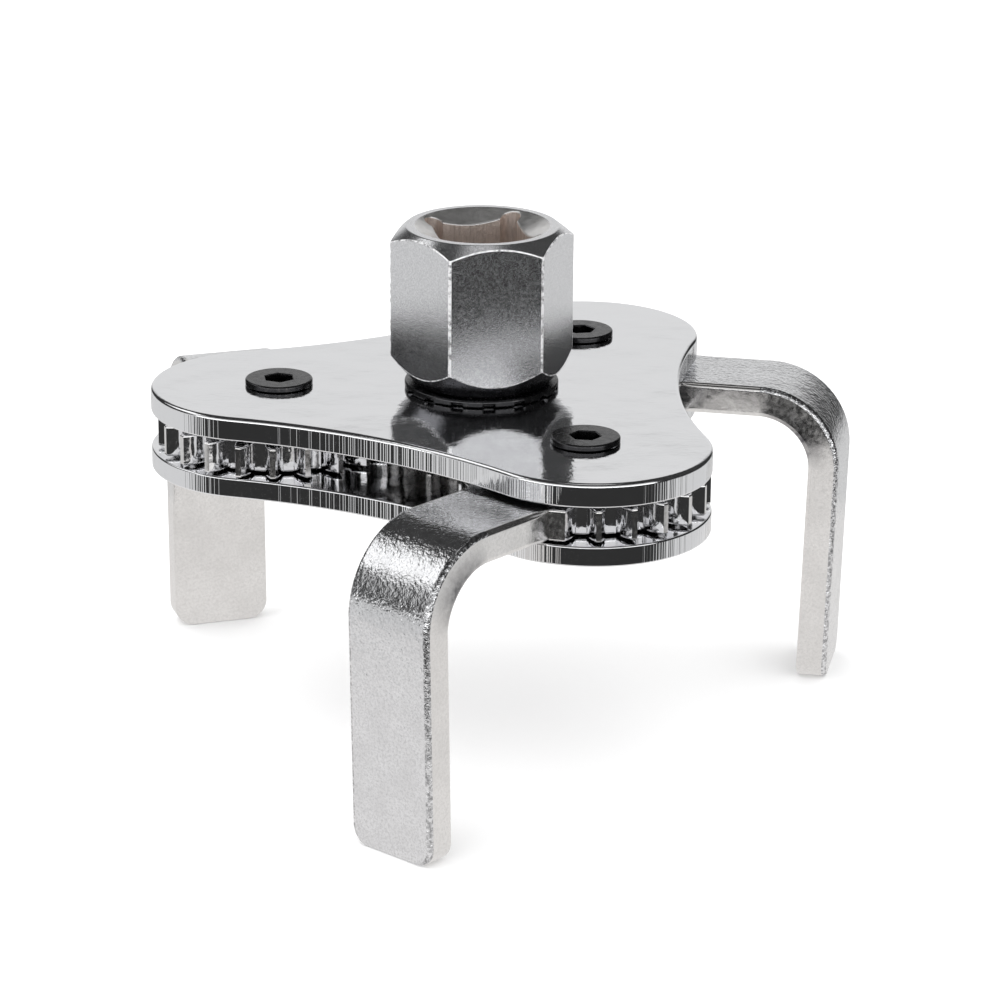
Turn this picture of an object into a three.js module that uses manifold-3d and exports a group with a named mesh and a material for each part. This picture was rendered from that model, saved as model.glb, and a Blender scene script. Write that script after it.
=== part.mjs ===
// Two-way, three-jaw oil filter wrench, in millimetres, +Z up.
//
// A hexagon head with a half-inch square socket turns a sun gear between two three-lobed plates.
// The sun gear turns the toothed end of three L-shaped jaws, so the jaws close on a filter together.
// The origin is on the drive axis, at the centre of the drive shaft's flat lower end.

import * as THREE from 'three';
import { mergeVertices } from 'three/addons/utils/BufferGeometryUtils.js';
import Module from 'manifold-3d';

const DEG = Math.PI / 180;

// Layout: the pivots stand on one circle, and their directions are measured from +X.
const PIVOT_CIRCLE_RADIUS = 30;
const PIVOT_ANGLES = [180, 300, 60];
const JAW_SWING = 71.4;           // how far each arm lies clockwise of straight out, at rest

// Heights of the stack above the end of the drive shaft.
const BOTTOM_PLATE_Z = 3;
const BOTTOM_PLATE_THICKNESS = 3;
const PLATE_SPACE = 5.7;
const TOP_PLATE_THICKNESS = 3.5;
const TOP_PLATE_Z = BOTTOM_PLATE_Z + BOTTOM_PLATE_THICKNESS + PLATE_SPACE;
const DECK_Z = TOP_PLATE_Z + TOP_PLATE_THICKNESS;
const FOOT_DROP = 51;             // from the top plate's upper face to the jaw tips
const FOOT_Z = DECK_Z - FOOT_DROP;

// Plate outline: three round lobes joined by shallow waists.
const LOBE_RADIUS = 17.25;
const LOBE_CENTRE = 31.75;
const WAIST_RADIUS = 84;

// Gears.
const MODULE_MM = 1.5;
const SUN_TEETH = 18;
const JAW_TEETH = 22;
const PRESSURE_ANGLE = 20;
const FLANK_THINNING = 0.24;      // taken off each tooth's thickness at the pitch circle
const SUN_Z = 6.3;
const SUN_THICKNESS = 5;

// Jaws: flat bar, bent down a little past square, with a toothed round end.
const BAR_WIDTH = 15;
const BAR_THICKNESS = 4.7;
const JAW_Z = 6.3;
const JAW_REACH = 41.5;           // pivot axis to the outer face, at the bend
const BEND_OUTER_RADIUS = 12.4;
const LEG_LEAN = 1.5;
const TIP_CORNER_RADIUS = 3;
const UNCUT_HALF_ANGLE = 33;      // no teeth are cut this far to each side of the arm

// Pivots: a shouldered post, riveted in the bottom plate and tapped for the screw.
const RUNNING_GAP = 0.3;
const REST_GAP = 0.15;
const END_GAP = 0.1;
const POST_RADIUS = 5;
const SPIGOT_RADIUS = 3.5;
const SCREW_RADIUS = 3;
const SCREW_HEAD_RADIUS = 5;
const SCREW_HEAD_PROUD = 0.95;
const SCREW_HEAD_EDGE = 0.25;
const SCREW_CONE_RADIUS = 4.6;
const SCREW_CONE_DEPTH = 1.8;
const SCREW_LENGTH = 8.4;
const KEY_ACROSS_FLATS = 4;
const KEY_DEPTH = 2.4;
const JAW_WASHER_RADIUS = 8.5;
const JAW_WASHER_THICKNESS = 0.4;

// Drive: hexagon head, journal, spline, lower journal and circlip groove in one piece.
const HEX_ACROSS_FLATS = 23.8;
const HEX_TURN = 10.5;
const HEX_LIFT = 1.2;             // from the top plate to the underside of the hexagon
const HEX_HEIGHT = 23.4;
const HEX_BOTTOM_RADIUS = 10.1;
const HEX_TOP_RADIUS = 11.2;
const LOWER_CHAMFER = 49;         // measured from the horizontal
const UPPER_CHAMFER = 39;
const SOCKET_ACROSS_FLATS = 12.8;
const SOCKET_TURN = 15;
const SOCKET_DEPTH = 17;
const SOCKET_RELIEF_RADIUS = 1.5;
const SOCKET_RELIEF_CENTRE = 8.15;
const MOUTH_RADIUS = 10;
const MOUTH_DEPTH = 1.65;         // where the conical mouth meets the middle of a socket wall
const JOURNAL_RADIUS = 9;
const SPLINE_TEETH = 12;
const SPLINE_ROOT_RADIUS = 7.2;
const SPLINE_TIP_RADIUS = 8;
const SPLINE_TOOTH_SHARE = 0.5;
const LOWER_JOURNAL_RADIUS = 6;
const SHAFT_END_CHAMFER = 0.5;
const GROOVE_RADIUS = 5.5;
const GROOVE_Z = 0.85;
const GROOVE_WIDTH = 1.2;
const JOINING_DEPTH = 1;          // how far the lengths of the shaft run into each other

// Small rings.
const TOOTHED_WASHER_RADIUS = 11.4;
const TOOTHED_WASHER_ROOT_RADIUS = 10.4;
const TOOTHED_WASHER_TEETH = 15;
const TOOTHED_WASHER_SHARE = 0.55;
const TOOTHED_WASHER_THICKNESS = 1;
const RETAINER_WASHER_RADIUS = 10;
const RETAINER_WASHER_THICKNESS = 0.8;
const CIRCLIP_INNER_RADIUS = 5.75;
const CIRCLIP_OUTER_RADIUS = 7.8;
const CIRCLIP_THICKNESS = 1;
const CIRCLIP_GAP_HALF_ANGLE = 14;
const CIRCLIP_LUG_RADIUS = 1.6;
const CIRCLIP_LUG_HOLE_RADIUS = 0.75;
const CIRCLIP_LUG_CENTRE = 7.75;
const CIRCLIP_LUG_ANGLE = 23;

const ARC_STEPS = 8;
const CIRCLE_STEPS = 36;
const FLANK_STEPS = 3;
const OVERRUN = 1;                // how far a cutting solid runs past the faces it cuts

const wasm = await Module();
wasm.setup();

// ---- solids ----

function toSolid(geometry) {
  const bare = geometry.clone();
  bare.deleteAttribute('normal');
  bare.deleteAttribute('uv');
  const merged = mergeVertices(bare, 1e-4);
  return new wasm.Manifold(new wasm.Mesh({
    numProp: 3,
    vertProperties: new Float32Array(merged.attributes.position.array),
    triVerts: new Uint32Array(merged.index.array),
  }));
}

function toGeometry(solid) {
  const mesh = solid.getMesh();
  const geometry = new THREE.BufferGeometry();
  geometry.setAttribute('position', new THREE.BufferAttribute(new Float32Array(mesh.vertProperties), 3));
  geometry.setIndex(new THREE.BufferAttribute(new Uint32Array(mesh.triVerts), 1));
  geometry.computeVertexNormals();
  return geometry;
}

// A flat outline, lifted to height z and made the given thickness.
function slab(shape, z, thickness) {
  const geometry = new THREE.ExtrudeGeometry(shape, {
    depth: thickness,
    bevelEnabled: false,
    curveSegments: ARC_STEPS,
  });
  return toSolid(geometry.translate(0, 0, z));
}

// A round solid about Z, from radius and height pairs that run upwards.
function turned(profile) {
  const points = profile.map(([radius, z]) => new THREE.Vector2(radius, z));
  const first = new THREE.Vector2(0, profile[0][1]);
  const last = new THREE.Vector2(0, profile[profile.length - 1][1]);
  const geometry = new THREE.LatheGeometry([first, ...points, last], CIRCLE_STEPS);
  return toSolid(geometry.rotateX(90 * DEG));
}

function cylinder(radius, z, height) {
  return turned([[radius, z], [radius, z + height]]);
}

function ring(innerRadius, outerRadius, z, thickness) {
  return cylinder(outerRadius, z, thickness)
    .subtract(cylinder(innerRadius, z - OVERRUN, thickness + 2 * OVERRUN));
}

function mesh(name, solid, material) {
  const piece = new THREE.Mesh(toGeometry(solid), material);
  piece.name = name;
  return piece;
}

function polar(radius, degrees) {
  return new THREE.Vector2(radius * Math.cos(degrees * DEG), radius * Math.sin(degrees * DEG));
}

// ---- outlines ----

function polygonOutline(sides, acrossFlats, turn) {
  const corner = acrossFlats / 2 / Math.cos(Math.PI / sides);
  const points = [];
  for (let i = 0; i < sides; i += 1) {
    points.push(polar(corner, turn + i * 360 / sides));
  }
  return new THREE.Shape(points);
}

function plateOutline() {
  const sideways = LOBE_CENTRE * Math.sin(60 * DEG);
  const waistCentre = LOBE_CENTRE * Math.cos(60 * DEG)
    + Math.sqrt((LOBE_RADIUS + WAIST_RADIUS) ** 2 - sideways ** 2);
  const halfSweep = Math.atan2(
    waistCentre * Math.sin(60 * DEG),
    waistCentre * Math.cos(60 * DEG) - LOBE_CENTRE,
  );
  const outline = new THREE.Shape();
  for (const angle of PIVOT_ANGLES) {
    const lobe = polar(LOBE_CENTRE, angle);
    const waist = polar(waistCentre, angle + 60);
    const start = angle * DEG - halfSweep;
    const end = angle * DEG + halfSweep;
    const next = (angle + 120) * DEG - halfSweep;
    outline.absarc(lobe.x, lobe.y, LOBE_RADIUS, start, end, false);
    outline.absarc(waist.x, waist.y, WAIST_RADIUS, end + Math.PI, next - Math.PI, true);
  }
  return outline;
}

// Half the angle that a tooth covers at a given radius, from the involute of its base circle.
function toothHalfAngle(teeth, radius) {
  const pitchRadius = teeth * MODULE_MM / 2;
  const baseRadius = pitchRadius * Math.cos(PRESSURE_ANGLE * DEG);
  const involute = (angle) => Math.tan(angle) - angle;
  const atRadius = Math.acos(Math.min(1, baseRadius / radius));
  const atPitch = Math.PI / (2 * teeth) - FLANK_THINNING / (2 * pitchRadius);
  return (atPitch + involute(PRESSURE_ANGLE * DEG) - involute(atRadius)) / DEG;
}

// A spur gear outline with a tooth space centred on spaceAngle. Spaces whose centre is less than
// uncut degrees from the direction 0 are left solid.
function gearOutline(teeth, spaceAngle, uncut) {
  const pitchRadius = teeth * MODULE_MM / 2;
  const tipRadius = pitchRadius + MODULE_MM;
  const rootRadius = pitchRadius - 1.25 * MODULE_MM;
  const baseRadius = pitchRadius * Math.cos(PRESSURE_ANGLE * DEG);
  const flankStart = Math.max(baseRadius, rootRadius);
  const pitch = 360 / teeth;
  const points = [];
  for (let i = 0; i < teeth; i += 1) {
    const space = spaceAngle + i * pitch;
    const fromArm = Math.abs(((space + 180) % 360 + 360) % 360 - 180);
    const previousTooth = space - pitch / 2;
    const nextTooth = space + pitch / 2;
    const tip = toothHalfAngle(teeth, tipRadius);
    points.push(polar(tipRadius, previousTooth));
    if (fromArm < uncut) {
      points.push(polar(tipRadius, space - pitch / 4));
      points.push(polar(tipRadius, space));
      points.push(polar(tipRadius, space + pitch / 4));
      continue;
    }
    points.push(polar(tipRadius, previousTooth + tip));
    for (let step = FLANK_STEPS - 1; step >= 0; step -= 1) {
      const radius = flankStart + (tipRadius - flankStart) * step / FLANK_STEPS;
      points.push(polar(radius, previousTooth + toothHalfAngle(teeth, radius)));
    }
    const foot = toothHalfAngle(teeth, flankStart);
    points.push(polar(rootRadius, previousTooth + foot));
    points.push(polar(rootRadius, space));
    points.push(polar(rootRadius, nextTooth - foot));
    for (let step = 0; step < FLANK_STEPS; step += 1) {
      const radius = flankStart + (tipRadius - flankStart) * step / FLANK_STEPS;
      points.push(polar(radius, nextTooth - toothHalfAngle(teeth, radius)));
    }
    points.push(polar(tipRadius, nextTooth - tip));
  }
  return new THREE.Shape(points);
}

// Straight-sided teeth round a circle. toothShare is the part of each pitch that the tooth covers,
// and growth widens the whole outline, for the hole that such a spline slides into.
function splineOutline(teeth, rootRadius, tipRadius, toothShare, growth) {
  const pitch = 360 / teeth;
  const extra = growth / tipRadius / DEG;
  const halfTooth = pitch * toothShare / 2 + extra;
  const points = [];
  for (let i = 0; i < teeth; i += 1) {
    const centre = i * pitch;
    points.push(polar(rootRadius + growth, centre - halfTooth));
    points.push(polar(tipRadius + growth, centre - halfTooth));
    points.push(polar(tipRadius + growth, centre));
    points.push(polar(tipRadius + growth, centre + halfTooth));
    points.push(polar(rootRadius + growth, centre + halfTooth));
    points.push(polar(rootRadius + growth, centre + pitch / 2));
  }
  return new THREE.Shape(points);
}

// ---- plates ----

function makeBottomPlate() {
  let plate = slab(plateOutline(), BOTTOM_PLATE_Z, BOTTOM_PLATE_THICKNESS);
  const height = BOTTOM_PLATE_THICKNESS + 2 * OVERRUN;
  plate = plate.subtract(cylinder(LOWER_JOURNAL_RADIUS + RUNNING_GAP, BOTTOM_PLATE_Z - OVERRUN, height));
  for (const angle of PIVOT_ANGLES) {
    const place = polar(PIVOT_CIRCLE_RADIUS, angle);
    const hole = cylinder(SPIGOT_RADIUS + RUNNING_GAP, BOTTOM_PLATE_Z - OVERRUN, height);
    plate = plate.subtract(hole.translate([place.x, place.y, 0]));
  }
  return plate;
}

function makeTopPlate() {
  let plate = slab(plateOutline(), TOP_PLATE_Z, TOP_PLATE_THICKNESS);
  const height = TOP_PLATE_THICKNESS + 2 * OVERRUN;
  plate = plate.subtract(cylinder(JOURNAL_RADIUS + RUNNING_GAP, TOP_PLATE_Z - OVERRUN, height));
  const hole = turned([
    [SCREW_RADIUS + RUNNING_GAP, TOP_PLATE_Z - OVERRUN],
    [SCREW_RADIUS + RUNNING_GAP, DECK_Z - SCREW_CONE_DEPTH],
    [SCREW_CONE_RADIUS + RUNNING_GAP, DECK_Z],
    [SCREW_CONE_RADIUS + RUNNING_GAP, DECK_Z + OVERRUN],
  ]);
  for (const angle of PIVOT_ANGLES) {
    const place = polar(PIVOT_CIRCLE_RADIUS, angle);
    plate = plate.subtract(hole.translate([place.x, place.y, 0]));
  }
  return plate;
}

// ---- pivots, each made about its own axis ----

function makePivotPost() {
  const shoulderZ = BOTTOM_PLATE_Z + BOTTOM_PLATE_THICKNESS + REST_GAP;
  const topZ = TOP_PLATE_Z - REST_GAP;
  const boreFloorZ = DECK_Z - SCREW_LENGTH - RUNNING_GAP;
  const body = turned([
    [SPIGOT_RADIUS, BOTTOM_PLATE_Z],
    [SPIGOT_RADIUS, shoulderZ],
    [POST_RADIUS, shoulderZ],
    [POST_RADIUS, topZ],
  ]);
  return body.subtract(cylinder(SCREW_RADIUS + RUNNING_GAP, boreFloorZ, topZ));
}

function makePivotScrew() {
  const headTopZ = DECK_Z + SCREW_HEAD_PROUD;
  const body = turned([
    [SCREW_RADIUS - SCREW_HEAD_EDGE, DECK_Z - SCREW_LENGTH],
    [SCREW_RADIUS, DECK_Z - SCREW_LENGTH + SCREW_HEAD_EDGE],
    [SCREW_RADIUS, DECK_Z - SCREW_CONE_DEPTH],
    [SCREW_CONE_RADIUS, DECK_Z + REST_GAP],
    [SCREW_HEAD_RADIUS, DECK_Z + REST_GAP],
    [SCREW_HEAD_RADIUS, headTopZ - SCREW_HEAD_EDGE],
    [SCREW_HEAD_RADIUS - SCREW_HEAD_EDGE, headTopZ],
  ]);
  const key = slab(polygonOutline(6, KEY_ACROSS_FLATS, 0), headTopZ - KEY_DEPTH, KEY_DEPTH + OVERRUN);
  return body.subtract(key);
}

function makeJawWasher() {
  const z = JAW_Z + BAR_THICKNESS + (TOP_PLATE_Z - JAW_Z - BAR_THICKNESS - JAW_WASHER_THICKNESS) / 2;
  return ring(POST_RADIUS + RUNNING_GAP, JAW_WASHER_RADIUS, z, JAW_WASHER_THICKNESS);
}

// ---- jaw, made about its pivot with the arm along +X ----

function makeBar() {
  const topZ = JAW_Z + BAR_THICKNESS;
  const startX = POST_RADIUS + BAR_THICKNESS;
  const bendX = JAW_REACH - BEND_OUTER_RADIUS;
  const bendZ = topZ - BEND_OUTER_RADIUS;
  const innerRadius = BEND_OUTER_RADIUS - BAR_THICKNESS;
  const legTopX = bendX + BEND_OUTER_RADIUS * Math.cos(LEG_LEAN * DEG);
  const legTopZ = bendZ - BEND_OUTER_RADIUS * Math.sin(LEG_LEAN * DEG);
  const footX = legTopX - (legTopZ - FOOT_Z) * Math.tan(LEG_LEAN * DEG);
  const side = new THREE.Shape();
  side.moveTo(startX, JAW_Z);
  side.absarc(bendX, bendZ, innerRadius, 90 * DEG, -LEG_LEAN * DEG, true);
  side.lineTo(footX - BAR_THICKNESS / Math.cos(LEG_LEAN * DEG), FOOT_Z);
  side.lineTo(footX, FOOT_Z);
  side.absarc(bendX, bendZ, BEND_OUTER_RADIUS, -LEG_LEAN * DEG, 90 * DEG, false);
  side.lineTo(startX, topZ);

  const swept = new THREE.ExtrudeGeometry(side, {
    depth: BAR_WIDTH,
    bevelEnabled: false,
    curveSegments: ARC_STEPS / 2,
  });
  swept.rotateX(90 * DEG).translate(0, BAR_WIDTH / 2, 0);

  // The tip's two corners are rounded across the width of the bar.
  const half = BAR_WIDTH / 2;
  const front = new THREE.Shape();
  front.moveTo(half, topZ + OVERRUN);
  front.lineTo(-half, topZ + OVERRUN);
  const cornerZ = FOOT_Z + TIP_CORNER_RADIUS;
  front.absarc(TIP_CORNER_RADIUS - half, cornerZ, TIP_CORNER_RADIUS, 180 * DEG, 270 * DEG, false);
  front.absarc(half - TIP_CORNER_RADIUS, cornerZ, TIP_CORNER_RADIUS, 270 * DEG, 360 * DEG, false);
  const mask = new THREE.ExtrudeGeometry(front, {
    depth: JAW_REACH,
    bevelEnabled: false,
    curveSegments: ARC_STEPS / 4,
  });
  mask.rotateX(90 * DEG).rotateZ(90 * DEG).translate(OVERRUN, 0, 0);
  return toSolid(swept).intersect(toSolid(mask));
}

function makeJaw() {
  const towardSun = 180 + JAW_SWING;
  const gear = slab(gearOutline(JAW_TEETH, towardSun, UNCUT_HALF_ANGLE), JAW_Z, BAR_THICKNESS);
  const bore = cylinder(POST_RADIUS + RUNNING_GAP, JAW_Z - OVERRUN, BAR_THICKNESS + 2 * OVERRUN);
  return gear.add(makeBar()).subtract(bore);
}

// ---- drive ----

function makeDriveHex() {
  const hexZ = DECK_Z + HEX_LIFT;
  const topZ = hexZ + HEX_HEIGHT;
  const clearRadius = HEX_ACROSS_FLATS / 2 / Math.cos(30 * DEG) + OVERRUN;
  const prism = slab(polygonOutline(6, HEX_ACROSS_FLATS, HEX_TURN), hexZ, HEX_HEIGHT);
  const chamfered = turned([
    [HEX_BOTTOM_RADIUS, hexZ],
    [clearRadius, hexZ + (clearRadius - HEX_BOTTOM_RADIUS) * Math.tan(LOWER_CHAMFER * DEG)],
    [clearRadius, topZ - (clearRadius - HEX_TOP_RADIUS) * Math.tan(UPPER_CHAMFER * DEG)],
    [HEX_TOP_RADIUS, topZ],
  ]);
  const splineTopZ = TOP_PLATE_Z - RUNNING_GAP;
  const splineZ = BOTTOM_PLATE_Z + BOTTOM_PLATE_THICKNESS + REST_GAP;
  const shaft = turned([
    [LOWER_JOURNAL_RADIUS - SHAFT_END_CHAMFER, 0],
    [LOWER_JOURNAL_RADIUS, SHAFT_END_CHAMFER],
    [LOWER_JOURNAL_RADIUS, GROOVE_Z],
    [GROOVE_RADIUS, GROOVE_Z],
    [GROOVE_RADIUS, GROOVE_Z + GROOVE_WIDTH],
    [LOWER_JOURNAL_RADIUS, GROOVE_Z + GROOVE_WIDTH],
    [LOWER_JOURNAL_RADIUS, splineTopZ],
    [JOURNAL_RADIUS, splineTopZ],
    [JOURNAL_RADIUS, hexZ + JOINING_DEPTH],
  ]);
  const spline = slab(
    splineOutline(SPLINE_TEETH, SPLINE_ROOT_RADIUS, SPLINE_TIP_RADIUS, SPLINE_TOOTH_SHARE, 0),
    splineZ,
    splineTopZ + JOINING_DEPTH - splineZ,
  );

  const half = SOCKET_ACROSS_FLATS / 2;
  const socketZ = topZ - SOCKET_DEPTH;
  const square = polygonOutline(4, SOCKET_ACROSS_FLATS, SOCKET_TURN + 45);
  let socket = slab(square, socketZ, SOCKET_DEPTH + OVERRUN);
  for (let i = 0; i < 4; i += 1) {
    const corner = polar(SOCKET_RELIEF_CENTRE, SOCKET_TURN + 45 + 90 * i);
    const relief = cylinder(SOCKET_RELIEF_RADIUS, socketZ, SOCKET_DEPTH + OVERRUN);
    socket = socket.add(relief.translate([corner.x, corner.y, 0]));
  }
  const mouthSlope = MOUTH_DEPTH / (MOUTH_RADIUS - half);
  const mouth = turned([
    [half - OVERRUN, topZ - MOUTH_DEPTH - OVERRUN * mouthSlope],
    [MOUTH_RADIUS + OVERRUN, topZ + OVERRUN * mouthSlope],
  ]);
  return prism.intersect(chamfered).add(shaft).add(spline).subtract(socket).subtract(mouth);
}

function makeDriveGear() {
  const gear = slab(gearOutline(SUN_TEETH, 180 / SUN_TEETH, 0), SUN_Z, SUN_THICKNESS);
  const bore = slab(
    splineOutline(SPLINE_TEETH, SPLINE_ROOT_RADIUS, SPLINE_TIP_RADIUS, SPLINE_TOOTH_SHARE, RUNNING_GAP),
    SUN_Z - OVERRUN,
    SUN_THICKNESS + 2 * OVERRUN,
  );
  return gear.subtract(bore);
}

function makeToothedWasher() {
  const z = DECK_Z + (HEX_LIFT - TOOTHED_WASHER_THICKNESS) / 2;
  const outline = splineOutline(
    TOOTHED_WASHER_TEETH,
    TOOTHED_WASHER_ROOT_RADIUS,
    TOOTHED_WASHER_RADIUS,
    TOOTHED_WASHER_SHARE,
    0,
  );
  const bore = cylinder(JOURNAL_RADIUS + RUNNING_GAP, z - OVERRUN, TOOTHED_WASHER_THICKNESS + 2 * OVERRUN);
  return slab(outline, z, TOOTHED_WASHER_THICKNESS).subtract(bore);
}

function makeRetainerWasher() {
  const z = BOTTOM_PLATE_Z - END_GAP - RETAINER_WASHER_THICKNESS;
  return ring(LOWER_JOURNAL_RADIUS + RUNNING_GAP, RETAINER_WASHER_RADIUS, z, RETAINER_WASHER_THICKNESS);
}

// An open ring with a lug and a plier hole at each end.
function makeCirclip() {
  const z = GROOVE_Z + (GROOVE_WIDTH - CIRCLIP_THICKNESS) / 2;
  const gap = CIRCLIP_GAP_HALF_ANGLE;
  const arc = new THREE.Shape();
  arc.absarc(0, 0, CIRCLIP_OUTER_RADIUS, gap * DEG, (360 - gap) * DEG, false);
  arc.absarc(0, 0, CIRCLIP_INNER_RADIUS, (360 - gap) * DEG, gap * DEG, true);
  let clip = slab(arc, z, CIRCLIP_THICKNESS);
  for (const side of [-1, 1]) {
    const place = polar(CIRCLIP_LUG_CENTRE, side * CIRCLIP_LUG_ANGLE);
    const lug = cylinder(CIRCLIP_LUG_RADIUS, z, CIRCLIP_THICKNESS);
    const hole = cylinder(CIRCLIP_LUG_HOLE_RADIUS, z - OVERRUN, CIRCLIP_THICKNESS + 2 * OVERRUN);
    clip = clip.add(lug.translate([place.x, place.y, 0])).subtract(hole.translate([place.x, place.y, 0]));
  }
  return clip;
}

// ---- materials ----

function metal(colour, roughness) {
  return new THREE.MeshStandardMaterial({ color: colour, roughness, metalness: 1 });
}

// ---- assembly ----

const wrench = new THREE.Group();

const cage = new THREE.Group();
cage.add(mesh('bottom_plate', makeBottomPlate(), metal(0xc9cbcd, 0.2)));
cage.add(mesh('top_plate', makeTopPlate(), metal(0xd2d3d5, 0.2)));
wrench.add(cage);

const drive = new THREE.Group();
drive.add(mesh('drive_hex', makeDriveHex(), metal(0xc4c5c8, 0.15)));
drive.add(mesh('drive_gear', makeDriveGear(), metal(0xaeb0b3, 0.3)));
drive.add(mesh('toothed_washer', makeToothedWasher(), metal(0x2a2a2c, 0.4)));
drive.add(mesh('retainer_washer', makeRetainerWasher(), metal(0xb4b6b8, 0.3)));
drive.add(mesh('retaining_ring', makeCirclip(), metal(0x2a2a2c, 0.4)));
wrench.add(drive);

PIVOT_ANGLES.forEach((angle, index) => {
  const number = index + 1;
  const place = polar(PIVOT_CIRCLE_RADIUS, angle);

  const pivot = new THREE.Group();
  pivot.position.set(place.x, place.y, 0);
  pivot.rotation.z = angle * DEG;
  pivot.add(mesh(`pivot_post_${number}`, makePivotPost(), metal(0xa6a8ab, 0.3)));
  pivot.add(mesh(`pivot_screw_${number}`, makePivotScrew(), metal(0x232325, 0.35)));
  pivot.add(mesh(`jaw_washer_${number}`, makeJawWasher(), metal(0xb4b6b8, 0.3)));
  wrench.add(pivot);

  const jaw = new THREE.Group();
  jaw.position.set(place.x, place.y, 0);
  jaw.rotation.z = (angle - JAW_SWING) * DEG;
  jaw.add(mesh(`jaw_${number}`, makeJaw(), metal(0xc6c7c9, 0.22)));
  wrench.add(jaw);
});

export default wrench;
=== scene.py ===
"""Two-way, three-jaw oil filter wrench: finely shaped pieces and their metal finishes, in metres.

Every piece stands where its CAD node does, follows the same body and replaces that node.
"""

import math

import bmesh
import bpy
import numpy as np
from mathutils import Matrix, Vector


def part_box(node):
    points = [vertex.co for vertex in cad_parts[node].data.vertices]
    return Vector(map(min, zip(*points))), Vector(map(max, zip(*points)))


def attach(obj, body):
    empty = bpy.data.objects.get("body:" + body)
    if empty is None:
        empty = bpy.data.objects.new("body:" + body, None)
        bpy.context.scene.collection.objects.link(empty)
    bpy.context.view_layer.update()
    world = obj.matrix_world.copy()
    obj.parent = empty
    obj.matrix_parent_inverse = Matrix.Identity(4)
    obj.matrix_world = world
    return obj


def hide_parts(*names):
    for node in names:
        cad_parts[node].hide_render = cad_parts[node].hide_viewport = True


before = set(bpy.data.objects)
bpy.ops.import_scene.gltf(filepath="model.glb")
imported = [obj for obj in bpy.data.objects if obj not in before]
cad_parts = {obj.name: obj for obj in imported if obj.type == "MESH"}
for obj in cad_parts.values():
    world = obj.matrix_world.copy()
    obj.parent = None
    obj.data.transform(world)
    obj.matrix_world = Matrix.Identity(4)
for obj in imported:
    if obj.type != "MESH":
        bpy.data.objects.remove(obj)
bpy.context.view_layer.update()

MM = 0.001

# ---- the layout, read from the frame ----


def heights(node):
    """The lowest and the highest z of a CAD node."""
    return [corner.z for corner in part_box(node)]


TOP_PLATE_Z, DECK_Z = heights("top_plate")
BOTTOM_PLATE_Z, BOTTOM_PLATE_TOP_Z = heights("bottom_plate")
FOOT_Z = heights("jaw_1")[0]
HEX_Z = heights("toothed_washer")[1] + 0.1 * MM
HEX_TOP_Z = heights("drive_hex")[1]

PIVOT_CIRCLE_RADIUS = 30 * MM
PIVOT_ANGLES = (180, 300, 60)
JAW_SWING = 71.4

# ---- sizes in metres, turns in degrees unless radians() is used ----

LOBE_RADIUS = 17.24 * MM
LOBE_CENTRE = 31.75 * MM
WAIST_RADIUS = 84 * MM
PLATE_TOP_EDGE = 0.55 * MM
PLATE_BOTTOM_EDGE = 0.25 * MM

MODULE = 1.5 * MM
SUN_TEETH = 18
JAW_TEETH = 22
JAW_TIP_RADIUS = JAW_TEETH * MODULE / 2 + MODULE
PRESSURE_ANGLE = math.radians(20)
FLANK_THINNING = 0.24 * MM
TOOTH_EDGE = 0.34 * MM

BAR_WIDTH = 15 * MM
BAR_THICKNESS = 4.7 * MM
BAR_EDGE = 0.7 * MM
JAW_REACH = 41.5 * MM
BEND_OUTER_RADIUS = 12.4 * MM
BEND_START = JAW_REACH - BEND_OUTER_RADIUS
LEG_LEAN = math.radians(1.5)
BEND_BULGE = 0.22 * MM  # the bar swells at the inside of the bend and draws in at the outside
BULGE_SHIFT = 0.7  # moves the unswollen line toward the outer face
BEND_SHADE_RISE = 1.6  # how fast the painted dark reflection on the inside of a bend sets in through the bar
BEND_SHADE_START = 0.35
TIP_CORNER_RADIUS = 3 * MM
TIP_EDGE = 0.6 * MM
UNCUT_HALF_ANGLE = 33

RUNNING_GAP = 0.3 * MM
POST_RADIUS = 5 * MM
SPIGOT_RADIUS = 3.5 * MM
RIVET_RADIUS = 3.75 * MM
SCREW_RADIUS = 3 * MM
SCREW_HEAD_RADIUS = 5 * MM
SCREW_CONE_RADIUS = 4.6 * MM
SCREW_CONE_DEPTH = 1.8 * MM
THREAD_PITCH = 1 * MM
THREAD_DEPTH = 0.55 * MM
KEY_ACROSS_FLATS = 4 * MM
KEY_DEPTH = 2.4 * MM
JAW_WASHER_RADIUS = 8.5 * MM

HEX_ACROSS_FLATS = 23.8 * MM
HEX_TURN = 10.5
HEX_CORNER_FILLET = 0.5 * MM
HEX_CORNER_COLUMNS = (0, 0.35, 0.7, 1.05, 1.4, 1.7, 1.95, 2.6)  # degrees from a corner
HEX_BOTTOM_RADIUS = 10.1 * MM
HEX_TOP_RADIUS = 11.2 * MM
LOWER_CHAMFER = math.radians(49)
UPPER_CHAMFER = math.radians(39)
SOCKET_ACROSS_FLATS = 12.8 * MM
SOCKET_TURN = 15
SOCKET_DEPTH = 17 * MM
SOCKET_RELIEF_RADIUS = 1.5 * MM
SOCKET_RELIEF_CENTRE = 8.15 * MM
MOUTH_RADIUS = 10 * MM
MOUTH_DEPTH = 1.65 * MM
JOURNAL_RADIUS = 9 * MM
LOWER_JOURNAL_RADIUS = 6 * MM
SHAFT_END_CHAMFER = 0.5 * MM
GROOVE_RADIUS = 5.5 * MM
GROOVE_Z = 0.85 * MM
GROOVE_WIDTH = 1.2 * MM
SPLINE_TEETH = 12
SPLINE_ROOT_RADIUS = 7.2 * MM
SPLINE_TIP_RADIUS = 8 * MM

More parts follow.
